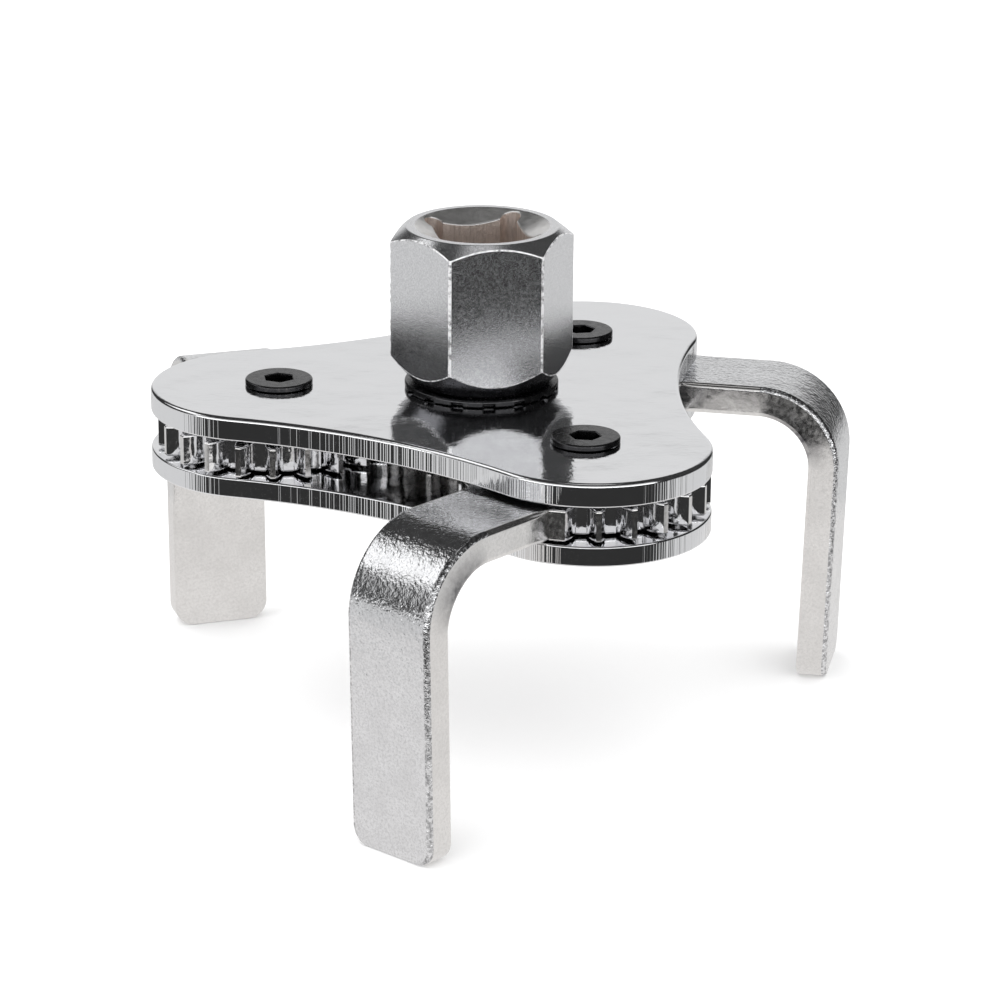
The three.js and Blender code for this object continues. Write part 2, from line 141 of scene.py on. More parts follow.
TOOTHED_WASHER_RADIUS = 11.4 * MM
TOOTHED_WASHER_ROOT_RADIUS = 10.8 * MM
TOOTHED_WASHER_TEETH = 15
TOOTHED_WASHER_SHARE = 0.6
RETAINER_WASHER_RADIUS = 10 * MM
CIRCLIP_INNER_RADIUS = 5.75 * MM
CIRCLIP_OUTER_RADIUS = 7.8 * MM
CIRCLIP_GAP_HALF_ANGLE = 14
CIRCLIP_LUG_RADIUS = 1.6 * MM
CIRCLIP_LUG_HOLE_RADIUS = 0.75 * MM
CIRCLIP_LUG_CENTRE = 7.75 * MM
CIRCLIP_LUG_ANGLE = 23

HOLE_EDGE = 0.2 * MM
HOLE_SIDES = 64
SUPPORT = 0.06 * MM  # flat strip beside each rounded edge, which keeps flat faces flat
EDGE_STEPS = 5
SHARP_ANGLE = math.radians(38)
SHARPEST_MITRE = 0.35  # limits how far an inset point moves at a sharp corner
FILLET_ROOM = 0.46  # the most of a side that one fillet takes up
SAME_ANGLE = 0.05  # angles nearer than this are one

# ---- outlines, counter-clockwise arrays of (x, y) ----


def polar(radius, degrees):
    angle = math.radians(degrees)
    return np.array((radius * math.cos(angle), radius * math.sin(angle)))


def fan(step):
    """Angles round a full turn, step degrees apart."""
    return np.arange(0, 360, step)


def arc(centre, radius, start, end, steps):
    """Points on a circle from one angle to another in degrees, with both ends."""
    return [np.asarray(centre) + polar(radius, a) for a in np.linspace(start, end, steps + 1)]


def plate_outline():
    sideways = LOBE_CENTRE * math.sin(math.radians(60))
    centre = LOBE_CENTRE / 2 + math.sqrt((LOBE_RADIUS + WAIST_RADIUS) ** 2 - sideways ** 2)
    sweep = math.degrees(math.atan2(centre * math.sin(math.radians(60)), centre / 2 - LOBE_CENTRE))
    points = []
    for angle in (60, 180, 300):
        lobe = polar(LOBE_CENTRE, angle)
        waist = polar(centre, angle + 60)
        points += arc(lobe, LOBE_RADIUS, angle - sweep, angle + sweep, 120)
        points += arc(waist, WAIST_RADIUS, angle + sweep + 180, angle - sweep + 300, 40)[1:-1]
    return np.array(points)


def involute(angle):
    return math.tan(angle) - angle


def tooth_half_angle(teeth, radius):
    """Half the angle in degrees that a tooth covers at a radius."""
    pitch_radius = teeth * MODULE / 2
    base_radius = pitch_radius * math.cos(PRESSURE_ANGLE)
    at_pitch = math.pi / (2 * teeth) - FLANK_THINNING / (2 * pitch_radius)
    at_radius = math.acos(min(1, base_radius / radius))
    return math.degrees(at_pitch + involute(PRESSURE_ANGLE) - involute(at_radius))


def tooth_space(teeth, space):
    """Outline from one tooth's tip, down its flank, along the root and up to the next tooth's tip."""
    flank_steps = 6
    pitch_radius = teeth * MODULE / 2
    tip = pitch_radius + MODULE
    root = pitch_radius - 1.25 * MODULE
    start = max(pitch_radius * math.cos(PRESSURE_ANGLE), root)
    half_pitch = 180 / teeth
    foot = half_pitch - tooth_half_angle(teeth, start)
    radii = np.linspace(tip, start, flank_steps + 1)
    down = [(r, space - half_pitch + tooth_half_angle(teeth, r)) for r in radii]
    fillet = [(root + (start - root) * 0.3, space - foot * 0.97)]
    bottom = [(root, space + foot * share) for share in (-0.8, -0.3, 0.3, 0.8)]
    up = [(r, 2 * space - a) for r, a in reversed(down + fillet)]
    return [polar(r, a) for r, a in down + fillet + bottom + up]


def tooth_tip(teeth, tooth):
    """Points on a tooth's tip circle between its two edges."""
    tip = teeth * MODULE / 2 + MODULE
    half = tooth_half_angle(teeth, tip)
    return [polar(tip, tooth + half * share) for share in (-0.4, 0.4)]


def sun_outline():
    points = []
    for tooth in range(SUN_TEETH):
        middle = tooth * 360 / SUN_TEETH
        points += tooth_tip(SUN_TEETH, middle)
        points += tooth_space(SUN_TEETH, middle + 180 / SUN_TEETH)
    return np.array(points)


def jaw_outline():
    """Open outline from one side of the bar, round the toothed end, to the bar's other side."""
    half = BAR_WIDTH / 2
    root_x = math.sqrt(JAW_TIP_RADIUS ** 2 - half ** 2)
    junction = math.degrees(math.asin(half / JAW_TIP_RADIUS))
    pitch = 360 / JAW_TEETH
    toward_sun = 180 + JAW_SWING
    spaces = sorted((toward_sun + i * pitch) % 360 for i in range(JAW_TEETH))
    cut = [s for s in spaces if min(s, 360 - s) >= UNCUT_HALF_ANGLE]
    edge = pitch / 2 - tooth_half_angle(JAW_TEETH, JAW_TIP_RADIUS)
    points = [np.array((x, half)) for x in np.linspace(BEND_START, root_x, 6)]
    points += arc((0, 0), JAW_TIP_RADIUS, junction, cut[0] - edge, 8)[1:-1]
    for space in cut:
        points += tooth_space(JAW_TEETH, space)
        if space != cut[-1]:
            points += tooth_tip(JAW_TEETH, space + pitch / 2)
    points += arc((0, 0), JAW_TIP_RADIUS, cut[-1] + edge, 360 - junction, 8)[1:-1]
    points += [np.array((x, -half)) for x in np.linspace(root_x, BEND_START, 6)]
    return np.array(points)


def notched_outline(teeth, root, tip, share, growth=0.0, lean=0.0):
    """Straight-sided teeth round a circle. Growth widens the outline for the hole a spline fits, and
    lean is the angle in degrees that each side covers."""
    pitch = 360 / teeth
    half = pitch * share / 2 + math.degrees(growth / tip)
    points = []
    for i in range(teeth):
        points += arc((0, 0), tip + growth, i * pitch - half, i * pitch + half, 4)
        points += arc((0, 0), root + growth, i * pitch + half + lean, (i + 1) * pitch - half - lean, 4)
    return np.array(points)


def round_reach(centre, radius, off):
    """Distance from the axis to the far side of a circle, seen at an angle off the circle's centre."""
    across = centre * math.sin(off)
    return centre * math.cos(off) + math.sqrt(radius ** 2 - across ** 2) if abs(across) <= radius else 0


def circlip_outline():
    """An open ring whose ends swell into a round lug each."""
    def outer(angle):
        lugs = [math.radians(angle - lug) for lug in (CIRCLIP_LUG_ANGLE, 360 - CIRCLIP_LUG_ANGLE)]
        swells = [round_reach(CIRCLIP_LUG_CENTRE, CIRCLIP_LUG_RADIUS, off) for off in lugs]
        return polar(max(CIRCLIP_OUTER_RADIUS, *swells), angle)

    gap = CIRCLIP_GAP_HALF_ANGLE
    near = list(np.linspace(gap, 36, 24))
    angles = near + list(np.linspace(39, 321, 70)) + [360 - a for a in reversed(near)]
    inner = arc((0, 0), CIRCLIP_INNER_RADIUS, 360 - gap, gap, 80)
    return np.array([outer(a) for a in angles] + inner)


def inward(points, closed):
    """Vectors that inset each point of an outline: a length moves the sides in by that length."""
    before = np.roll(points, 1, axis=0)
    after = np.roll(points, -1, axis=0)
    if not closed:
        before[0] = 2 * points[0] - points[1]
        after[-1] = 2 * points[-1] - points[-2]
    normals = []
    for side in (points - before, after - points):
        side /= np.linalg.norm(side, axis=1)[:, None]
        normals.append(np.stack((-side[:, 1], side[:, 0]), axis=1))
    turn = np.maximum(1 + (normals[0] * normals[1]).sum(axis=1), SHARPEST_MITRE)
    return (normals[0] + normals[1]) / turn[:, None]


# ---- solids in bmesh ----


def edge_levels(bottom, top, bottom_edge, top_edge, steps=EDGE_STEPS):
    """(inset, height, rise) up a slab's side: the inset and rise scale with each point's own edge size."""
    turns = [math.pi / 2 * step / steps for step in range(steps + 1)]
    quarter = [(1 - math.sin(turn), 1 - math.cos(turn)) for turn in turns]
    levels = [(bottom_edge + SUPPORT, bottom, 0)]
    levels += [(bottom_edge * inset, bottom, bottom_edge * rise) for inset, rise in quarter]
    levels += [(0, bottom, bottom_edge + SUPPORT), (0, top, -top_edge - SUPPORT)]
    levels += [(top_edge * inset, top, -top_edge * rise) for inset, rise in reversed(quarter)]
    return levels + [(top_edge + SUPPORT, top, 0)]


def bridge(bm, lower, upper, closed=True, finish=0):
    count = len(lower)
    for i in range(count if closed else count - 1):
        j = (i + 1) % count
        face = bm.faces.new((lower[i], lower[j], upper[j], upper[i]))
        face.material_index = finish


def wall(bm, outline, levels, closed=True, weights=None, finish=0):
    """Rings of vertices up the side of a slab, joined by quads. A hole's outline runs clockwise."""
    run = bm.verts.layers.float.get("run") or bm.verts.layers.float.new("run")
    shift = inward(outline, closed)
    lengths = np.linalg.norm(np.diff(outline, axis=0), axis=1)
    distance = np.concatenate(((0,), np.cumsum(lengths)))
    share = np.ones(len(outline)) if weights is None else weights
    rings = []
    for inset, height, rise in levels:
        ring = []
        for place, vector, weight, along in zip(outline, shift, share, distance):
            x, y = place + vector * inset * weight
            vertex = bm.verts.new((x, y, height + rise * weight))
            vertex[run] = along
            ring.append(vertex)
        if rings:
            bridge(bm, rings[-1], ring, closed, finish)
        rings.append(ring)
    return rings


def fill(bm, rings, finish=0):
    """A flat face inside the first ring with the others as holes."""
    edges = []
    for ring in rings:
        for first, second in zip(ring, ring[1:] + ring[:1]):
            edges.append(bm.edges.get((first, second)) or bm.edges.new((first, second)))
    made = bmesh.ops.triangle_fill(bm, use_beauty=True, use_dissolve=False, edges=edges)
    for item in made["geom"]:
        if isinstance(item, bmesh.types.BMFace):
            item.material_index = finish


def eased(corners, steps=EDGE_STEPS):
    """Points along a chain of (radius, height, fillet) corners, with each fillet as an arc."""
    spots = [np.array(corner[:2]) for corner in corners]
    points = [spots[0]]
    for before, spot, after, corner in zip(spots, spots[1:], spots[2:], corners[1:]):
        fillet = corner[2]
        if not fillet:
            points.append(spot)
            continue
        back = before - spot
        on = after - spot
        room = FILLET_ROOM * min(np.linalg.norm(back), np.linalg.norm(on))
        back = back / np.linalg.norm(back)
        on = on / np.linalg.norm(on)
        half_turn = (math.pi - math.acos(np.clip(back @ on, -1, 1))) / 2
        reach = min(fillet * math.tan(half_turn), room)
        radius = reach / math.tan(half_turn)
        centre = spot + (back + on) / np.linalg.norm(back + on) * radius / math.cos(half_turn)
        start = spot + back * reach - centre
        end = spot + on * reach - centre
        strip = min(reach + SUPPORT, 1.05 * reach + SUPPORT / 8)
        points.append(spot + back * strip)
        angle = 2 * half_turn
        for share in (step / steps for step in range(steps + 1)):
            blend = (start * math.sin((1 - share) * angle) + end * math.sin(share * angle)) / math.sin(angle)
            points.append(centre + blend)
        points.append(spot + on * strip)
    points.append(spots[-1])
    return points


def turned(bm, angles, profile, centre=(0, 0), poles=True, finish=lambda row, angle: 0):
    """A solid lathed round a vertical axis. profile(angle) lists (radius, height) points that are the
    same in number at every angle; with poles its first and last points lie on the axis, and
    without them it closes on itself. finish(row, angle) gives each face its material."""
    columns = []
    for angle in angles:
        rows = profile(angle)
        rows = rows[1:-1] if poles else rows
        outward = polar(1, angle)
        columns.append([bm.verts.new((*(np.asarray(centre) + outward * r), z)) for r, z in rows])
    count = len(columns[0])
    for i, column in enumerate(columns):
        other = columns[(i + 1) % len(columns)]
        for row in range(count - 1 if poles else count):
            above = (row + 1) % count
            face = bm.faces.new((column[row], other[row], other[above], column[above]))
            face.material_index = finish(row, angles[i])
    if poles:
        rows = profile(angles[0])
        for row, point in ((0, rows[0]), (count - 1, rows[-1])):
            pole = bm.verts.new((*centre, point[1]))
            for i, column in enumerate(columns):
                face = bm.faces.new((column[row], columns[(i + 1) % len(columns)][row], pole))
                face.material_index = finish(row, angles[i])


def hole(bm, centre, corners):
    """The wall of a round hole from (radius, height, fillet) corners. Returns its end rings."""
    rings = []
    for radius, height in eased(corners, 3):
        spots = [np.asarray(centre) + polar(radius, a) for a in fan(360 / HOLE_SIDES)]
        ring = [bm.verts.new((*spot, height)) for spot in spots]
        if rings:
            bridge(bm, rings[-1], ring)
        rings.append(ring)
    return rings[0], rings[-1]


def straight_hole(bm, centre, radius, bottom, top, edge):
    """A round hole with both rims eased."""
    return hole(bm, centre, [
        (radius + edge + SUPPORT, bottom, 0),
        (radius + edge, bottom, 0),
        (radius, bottom + edge, edge / 3),
        (radius, top - edge, edge / 3),
        (radius + edge, top, 0),
        (radius + edge + SUPPORT, top, 0),
    ])


def put(name, data):
    """A new object in the scene."""
    made = bpy.data.objects.new(name, data)
    bpy.context.scene.collection.objects.link(made)
    return made


def cap(bm, rings, holes):
    """Flat faces at both ends of a wall, open at the end rings of each hole."""
    fill(bm, [rings[0]] + [first for first, _ in holes])
    fill(bm, [rings[-1]] + [last for _, last in holes])


def piece(bm, node, body, materials):
    """Turns a bmesh into the piece that stands for a CAD node and moves with its body."""
    bmesh.ops.recalc_face_normals(bm, faces=bm.faces)
    mesh = bpy.data.meshes.new(node + "_detailed")
    bm.to_mesh(mesh)
    bm.free()
    for material in materials:
        mesh.materials.append(material)
    mesh.polygons.foreach_set("use_smooth", [True] * len(mesh.polygons))
    mesh.set_sharp_from_angle(angle=SHARP_ANGLE)
    made = put(node + "_detailed", mesh)
    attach(made, body)
    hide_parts(node)


# ---- material building blocks ----


class Nodes:
    """Adds shader nodes to a tree."""

    def __init__(self, tree):
        self.tree = tree

    def connect(self, value, socket):
        if isinstance(value, bpy.types.NodeSocket):
            self.tree.links.new(value, socket)
        else:
            socket.default_value = value

    def add(self, kind, inputs=None, **settings):
        node = self.tree.nodes.new("ShaderNode" + kind)
        for key, value in settings.items():
            setattr(node, key, value)
        for key, value in (inputs or {}).items():
            self.connect(value, node.inputs[key])
        return node

    def math(self, operation, first, second=0.0):
        return self.add("Math", {0: first, 1: second}, operation=operation).outputs[0]

    def spread(self, value, low_in, high_in, low_out, high_out, **settings):
        """Maps a value from one range to another, without going past its ends."""
        inputs = {"Value": value, "From Min": low_in, "From Max": high_in,
                  "To Min": low_out, "To Max": high_out}
        return self.add("MapRange", inputs, **settings).outputs[0]


class Finish(Nodes):
    """A metal finish: a Principled shader whose colour, roughness and bump come from added layers."""

    def __init__(self, name, colour, roughness, metallic=1.0):
        self.material = bpy.data.materials.new(name)
        self.material.use_nodes = True
        super().__init__(self.material.node_tree)
        self.shader = self.tree.nodes["Principled BSDF"]
        self.shader.inputs["Metallic"].default_value = metallic
        self.coordinates = self.add("TexCoord").outputs["Object"]
        self.colour = (*colour, 1)
        self.roughness = roughness
        self.normal = None

    def stretched(self, scale):
        """Object coordinates with each axis scaled, for marks that run one way."""
        return self.add("Mapping", {"Vector": self.coordinates, "Scale": scale}).outputs[0]

    def noise(self, size, detail=2.0, roughness=0.5, vector=None):
        """Cloudy noise whose features are about size metres across."""
        inputs = {"Vector": vector or self.coordinates, "Scale": 1 / size,
                  "Detail": detail, "Roughness": roughness}
        return self.add("TexNoise", inputs).outputs["Fac"]

    def stripes(self, along, pitch):
        """Noise along one length, with features about a pitch apart."""
        inputs = {"W": self.math("MULTIPLY", along, 1 / pitch), "Scale": 1.0, "Detail": 2.0}
        return self.add("TexNoise", inputs, noise_dimensions="1D").outputs["Fac"]

    def bump(self, height, depth):
        """Adds relief of a given depth in metres."""
        inputs = {"Height": height, "Distance": depth, "Strength": 1.0}
        if self.normal:
            inputs["Normal"] = self.normal
        self.normal = self.add("Bump", inputs).outputs[0]

    def relief(self, size, depth, *noise):
        """Adds cloudy relief with features about size metres across."""
        self.bump(self.noise(size, *noise), depth)
        return self

    def vary_roughness(self, value, amount):
        self.roughness = self.math("ADD", self.roughness, self.spread(value, 0.3, 0.7, -amount, amount))

    def patches(self, size, amount, *noise):
        """Makes patches of about a size duller and shinier."""
        self.vary_roughness(self.noise(size, *noise), amount)
        return self

    def tint(self, value, other, amount):
        """Mixes in another colour by a value's share of amount."""
        mix = self.add("Mix", {0: self.math("MULTIPLY", value, amount)}, data_type="RGBA")
        colours = [socket for socket in mix.inputs if socket.type == "RGBA"]
        self.connect(self.colour, colours[0])
        self.connect((*other, 1), colours[1])
        self.colour = next(socket for socket in mix.outputs if socket.type == "RGBA")

    def shade(self, value, low_in, high_in, other, amount):
        """Mixes in another colour where a value is high."""
        self.tint(self.spread(value, low_in, high_in, 0, 1), other, amount)

    def flecks(self, size, low_in, high_in, other, amount, roughness=0.5):
        """Mixes in another colour where noise of a size is high."""
        self.shade(self.noise(size, 3, roughness), low_in, high_in, other, amount)
        return self

    def done(self):
        self.connect(self.colour, self.shader.inputs["Base Color"])
        self.connect(self.roughness, self.shader.inputs["Roughness"])
        if self.normal:
            self.connect(self.normal, self.shader.inputs["Normal"])
        return self.material


CHROME = (0.86, 0.865, 0.88)
BRIGHT_CHROME = (0.93, 0.93, 0.94)
SIDE_CHROME = (0.86, 0.85, 0.84)
STEEL = (0.58, 0.57, 0.56)
# grey steel darkened as painted shade for the gear between the plates
GEAR_SHADE_GREY = (0.4, 0.395, 0.39)
PALE_WASHER_STEEL = (0.66, 0.66, 0.65)
MOUTH_GREY = (0.85, 0.84, 0.83)
SOCKET_BROWN = (0.9, 0.8, 0.74)
SOCKET_SHADE = (0.34, 0.28, 0.24)
# near-white painted highlight for the hexagon's corners and edge arcs
HIGHLIGHT_WHITE = (0.98, 0.98, 0.99)
# dark grey painted shade for the cone under the hexagon
CHAMFER_SHADE_GREY = (0.22, 0.22, 0.23)
OXIDE_BLACK = (0.06, 0.06, 0.063)
FLOOR_WHITE = (0.93, 0.93, 0.93)
LATHE_PITCH = 0.25 * MM
SHEAR_PITCH = 0.45 * MM
SHEAR_WANDER = 14  # radians by which the shear marks stray from an even pitch


def plate_face_finish():
    finish = Finish("plate_chrome_face", CHROME, 0.085)
    finish.relief(9 * MM, 0.2 * MM, 1)
    finish.relief(1.8 * MM, 0.03 * MM)
    finish.relief(0.4 * MM, 0.008 * MM)
    brushed = finish.noise(0.5 * MM, 3, 0.6, finish.stretched((0.16, 1, 1)))
    finish.vary_roughness(brushed, 0.035)
    finish.bump(brushed, 0.003 * MM)
    finish.patches(14 * MM, 0.02)
    return finish.done()


def sheared_edge_finish():
    """Upright shear marks round the plates' sides, from the distance along the outline."""
    finish = Finish("plate_chrome_sheared", CHROME, 0.08)
    run = finish.add("Attribute", attribute_name="run").outputs["Fac"]
    wander = finish.stripes(run, 2.5 * SHEAR_PITCH)
    steady = finish.math("MULTIPLY", run, 2 * math.pi / SHEAR_PITCH)
    phase = finish.math("ADD", steady, finish.math("MULTIPLY", wander, SHEAR_WANDER))
    finish.bump(finish.math("SINE", phase), 0.01 * MM)
    finish.bump(wander, 0.035 * MM)
    finish.relief(1.5 * MM, 0.006 * MM)
    finish.patches(0.6 * MM, 0.03)
    return finish.done()


def hex_finish():
    finish = Finish("hex_chrome", CHROME, 0.2)
    finish.relief(3.5 * MM, 0.008 * MM, 1)
    grain = finish.noise(0.22 * MM, 2, 0.7)
    finish.bump(grain, 0.016 * MM)
    finish.shade(grain, 0.35, 0.65, (0.5, 0.5, 0.52), 0.5)
    finish.patches(0.4 * MM, 0.04)
    return finish.done()


def socket_finish():
    finish = Finish("socket_steel", SOCKET_BROWN, 0.5)
    finish.relief(0.35 * MM, 0.05 * MM, 3, 0.6)
    drawn = finish.noise(0.5 * MM, 2, 0.5, finish.stretched((1, 1, 0.12)))
    finish.shade(drawn, 0.35, 0.7, SOCKET_SHADE, 0.5)
    finish.vary_roughness(drawn, 0.12)
    return finish.done()


def jaw_side_finish():
    """Sides of the forged bar, darkened on the inside of the bend by a painted dark reflection."""
    finish = Finish("jaw_chrome_sides", SIDE_CHROME, 0.17)
    inside = finish.add("Attribute", attribute_name="inside").outputs["Fac"]
    # painted dark reflection: darker toward the inner face of the bend, patchy with noise
    patchy_reflection = finish.math("MULTIPLY", inside, finish.spread(finish.noise(1.1 * MM, 3), 0.2, 0.75, 1.25, 0.6))
    finish.tint(patchy_reflection, (0.1, 0.1, 0.11), 0.95)
    finish.flecks(0.4 * MM, 0.4, 0.75, (0.55, 0.54, 0.53), 0.35, 0.6)
    finish.shade(finish.noise(7 * MM), 0.35, 0.65, (0.62, 0.61, 0.6), 0.3)
    finish.relief(6 * MM, 0.05 * MM, 1)
    finish.relief(1.4 * MM, 0.015 * MM)
    finish.patches(0.7 * MM, 0.06, 3)
    return finish.done()


def plain_steel_finish(name, centre=(0, 0), colour=STEEL, roughness=0.3):
    """Lathe-turned steel with fine rings round an axis."""
    finish = Finish(name, colour, roughness)
    parts = finish.add("SeparateXYZ", {0: finish.coordinates}).outputs
    across = finish.math("SUBTRACT", parts["X"], centre[0])
    along = finish.math("SUBTRACT", parts["Y"], centre[1])
    squares = [finish.math("POWER", length, 2) for length in (across, along)]
    radius = finish.math("SQRT", finish.math("ADD", *squares))
    finish.bump(finish.stripes(finish.math("ADD", radius, parts["Z"]), LATHE_PITCH), 0.02 * MM)
    finish.patches(0.9 * MM, 0.08, 3)
    finish.flecks(2.5 * MM, 0.4, 0.7, (0.36, 0.34, 0.33), 0.4)
    return finish.done()


PLATE_FACE = plate_face_finish()
SHEARED_EDGE = sheared_edge_finish()
HEX_CHROME = hex_finish()
SOCKET_STEEL = socket_finish()
MOUTH_STEEL = (
    Finish("mouth_steel", MOUTH_GREY, 0.34)
    .relief(2 * MM, 0.05 * MM, 1)
    .relief(0.4 * MM, 0.01 * MM)
    .patches(0.8 * MM, 0.06)
    .done()
)
# Coarsely ground corners, which scatter light, coloured near-white as a painted highlight.
GROUND_EDGE_HIGHLIGHT = (
    Finish("ground_edge", HIGHLIGHT_WHITE, 0.45, metallic=0.55)
    .relief(0.5 * MM, 0.03 * MM)
    .patches(0.4 * MM, 0.1)
    .flecks(0.9 * MM, 0.46, 0.62, (0.16, 0.16, 0.17), 0.85, 0.7)
    .done()
)
# The cone under the hexagon, coloured dark grey as painted shade.
SHADED_CHAMFER = (
    Finish("lower_chamfer", CHAMFER_SHADE_GREY, 0.22)
    .relief(1.5 * MM, 0.03 * MM)
    .patches(0.7 * MM, 0.06)
    .done()
)
# Forged skin under the chrome: fine pebbled grain.
JAW_FACE = (
    Finish("jaw_chrome_forged", CHROME, 0.15)
    .relief(5 * MM, 0.1 * MM, 1)
    .relief(0.7 * MM, 0.09 * MM, 2, 0.55)
    .relief(0.3 * MM, 0.025 * MM)
    .patches(0.5 * MM, 0.06)
    .flecks(0.36 * MM, 0.42, 0.72, (0.42, 0.42, 0.43), 0.55, 0.7)
    .flecks(4 * MM, 0.35, 0.7, (0.66, 0.66, 0.67), 0.35)
    .done()
)
JAW_SIDE = jaw_side_finish()
# The forged bar's rounded edges, rough where the skin was rolled over, with dark flecks as a painted dark
# reflection along the rounding.
JAW_EDGE = (
    Finish("jaw_chrome_edges", CHROME, 0.12)
    .relief(0.55 * MM, 0.16 * MM, 2, 0.6)
    .relief(2.5 * MM, 0.1 * MM, 1)
    .patches(0.5 * MM, 0.06)
    .flecks(0.6 * MM, 0.4, 0.62, (0.14, 0.14, 0.145), 0.7, 0.7)
    .done()
)
TOOTH_CHROME = (
    Finish("jaw_chrome_teeth", BRIGHT_CHROME, 0.08)
    .relief(1.6 * MM, 0.04 * MM)
    .patches(0.5 * MM, 0.04)
    .done()
)
SHAFT_STEEL = plain_steel_finish("shaft_steel")
# the drive gear, darkened as painted shade between the plates
GEAR_STEEL = plain_steel_finish("gear_steel", colour=GEAR_SHADE_GREY, roughness=0.26)
WASHER_STEEL = plain_steel_finish("washer_steel", colour=PALE_WASHER_STEEL, roughness=0.25)
BLACK_OXIDE = (
    Finish("black_oxide", OXIDE_BLACK, 0.24)
    .relief(0.35 * MM, 0.015 * MM)
    .patches(0.8 * MM, 0.08, 3)
    .flecks(0.5 * MM, 0.55, 0.8, (0.16, 0.155, 0.15), 0.5)
    .done()
)

# ---- plates ----


def make_plate(node, bottom, top, top_edge, bottom_edge, holes):
    bm = bmesh.new()
    rings = wall(bm, plate_outline(), edge_levels(bottom, top, bottom_edge, top_edge), finish=1)
    rounded_bands = EDGE_STEPS + 1
    for face in list(bm.faces)[-rounded_bands * len(rings[0]):]:
        face.material_index = 0
    cap(bm, rings, [make_hole(bm) for make_hole in holes])
    piece(bm, node, "cage", [PLATE_FACE, SHEARED_EDGE])


def countersunk(centre):
    """The hole for a pivot screw in the top plate."""
    mouth = SCREW_CONE_RADIUS + RUNNING_GAP
    shank = SCREW_RADIUS + RUNNING_GAP
    return lambda bm: hole(bm, centre, [
        (shank + HOLE_EDGE + SUPPORT, TOP_PLATE_Z, 0),
        (shank + HOLE_EDGE, TOP_PLATE_Z, 0),
        (shank, TOP_PLATE_Z + HOLE_EDGE, HOLE_EDGE / 3),
        (shank, DECK_Z - SCREW_CONE_DEPTH, HOLE_EDGE),
        (mouth, DECK_Z, HOLE_EDGE / 3),
        (mouth + HOLE_EDGE + SUPPORT, DECK_Z, 0),
    ])


def make_plates():
    pivots = [polar(PIVOT_CIRCLE_RADIUS, angle) for angle in PIVOT_ANGLES]

    def journal(bm):
        return straight_hole(bm, (0, 0), JOURNAL_RADIUS + RUNNING_GAP, TOP_PLATE_Z, DECK_Z, HOLE_EDGE)

    def lower_hole(centre, radius, edge):
        return lambda bm: straight_hole(bm, centre, radius + RUNNING_GAP,
                                        BOTTOM_PLATE_Z, BOTTOM_PLATE_TOP_Z, edge)

    make_plate("top_plate", TOP_PLATE_Z, DECK_Z, PLATE_TOP_EDGE, PLATE_BOTTOM_EDGE,
               [journal] + [countersunk(p) for p in pivots])
    make_plate("bottom_plate", BOTTOM_PLATE_Z, BOTTOM_PLATE_TOP_Z, PLATE_BOTTOM_EDGE, PLATE_BOTTOM_EDGE,
               [lower_hole((0, 0), LOWER_JOURNAL_RADIUS, HOLE_EDGE)]
               + [lower_hole(p, SPIGOT_RADIUS, HOLE_EDGE / 2) for p in pivots])


# ---- drive ----


def merged_angles(*groups):
    """All the angles in order, with near-equal ones dropped."""
    kept = []
    for angle in sorted(float(a) % 360 for group in groups for a in group):
        if not kept or angle - kept[-1] > SAME_ANGLE:
            kept.append(angle)
    if 360 - kept[-1] + kept[0] < SAME_ANGLE:
        kept.pop()
    return kept


def off_nearest(angle, start, pitch):
    """How far an angle is from the nearest of start, start + pitch, and so on."""
    return (angle - start + pitch / 2) % pitch - pitch / 2


HEX_CORNER = HEX_ACROSS_FLATS / 2 / math.cos(math.radians(30))


def hex_corner_limit():
    """Half the angle in degrees that a rounded corner of the hexagon covers."""
    reach = HEX_CORNER_FILLET * math.tan(math.radians(30))
    return math.degrees(math.atan2(reach * math.sin(math.radians(60)), HEX_CORNER - reach / 2))


def hex_radius(angle):
    """Distance from the axis to the hexagon, whose corners are rounded."""
    centre = HEX_CORNER - HEX_CORNER_FILLET / math.cos(math.radians(30))
    off = math.radians(off_nearest(angle, HEX_TURN, 60))
    if abs(off) > math.radians(hex_corner_limit()):
        return HEX_ACROSS_FLATS / 2 / math.cos(math.radians(30) - abs(off))
    return round_reach(centre, HEX_CORNER_FILLET, off)


def socket_radius(angle):
    """Distance from the axis to the square socket's wall, with a round relief in each corner."""
    off = math.radians(off_nearest(angle, SOCKET_TURN + 45, 90))
    wall_radius = SOCKET_ACROSS_FLATS / 2 / math.cos(math.radians(45) - abs(off))
    return max(wall_radius, round_reach(SOCKET_RELIEF_CENTRE, SOCKET_RELIEF_RADIUS, off))


def spline_radius(angle):
    on_tooth = abs(off_nearest(angle, 0, 360 / SPLINE_TEETH)) < 90 / SPLINE_TEETH
    return SPLINE_TIP_RADIUS if on_tooth else SPLINE_ROOT_RADIUS


def both_sides(start, count, offsets):
    """Angles at offsets either side of start and of its repeats round a full turn."""
    return [start + 360 / count * i + side * a for i in range(count) for a in offsets for side in (-1, 1)]


def drive_angles():
    """Columns for the lathed drive, close together round every corner, relief and spline flank."""
    tangent = math.degrees(math.asin(SOCKET_RELIEF_RADIUS / SOCKET_RELIEF_CENTRE))
    turns = np.radians(np.linspace(0, 90 + tangent, 8))
    relief = [math.degrees(math.atan2(SOCKET_RELIEF_RADIUS * math.sin(t),
                                      SOCKET_RELIEF_CENTRE + SOCKET_RELIEF_RADIUS * math.cos(t)))
              for t in turns]
    relief[-1] -= 0.01
    relief.append(tangent + 0.1)
    corners = both_sides(HEX_TURN, 6, HEX_CORNER_COLUMNS)
    reliefs = both_sides(SOCKET_TURN + 45, 4, relief)
    half = 90 / SPLINE_TEETH
    flanks = both_sides(0, SPLINE_TEETH, (half - 0.1, half + 0.1))
    return merged_angles(corners, reliefs, flanks, fan(3))


